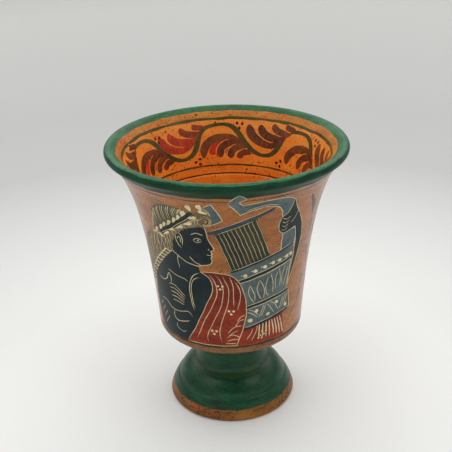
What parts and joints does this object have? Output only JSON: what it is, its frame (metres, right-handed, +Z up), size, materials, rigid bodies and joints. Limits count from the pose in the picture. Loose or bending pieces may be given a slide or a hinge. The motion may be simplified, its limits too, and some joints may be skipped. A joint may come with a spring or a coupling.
{
  "type": "pythagorean cup",
  "caption": "Footed clay goblet with a flaring painted bowl, a siphon column standing inside it, a short stem and a domed hollow foot.",
  "frame": {"origin": "centre of the foot, on the plane it stands on", "axes": "+Z up the cup's axis; the painted front faces -Y and the siphon's inlet faces -X"},
  "size_m": [0.091, 0.091, 0.11],
  "materials": {
    "cup": "painted and varnished orange clay, satin, with dark green rim and foot"
  },
  "bodies": {
    "root": {"cup": "cup"}
  },
  "joints": []
}
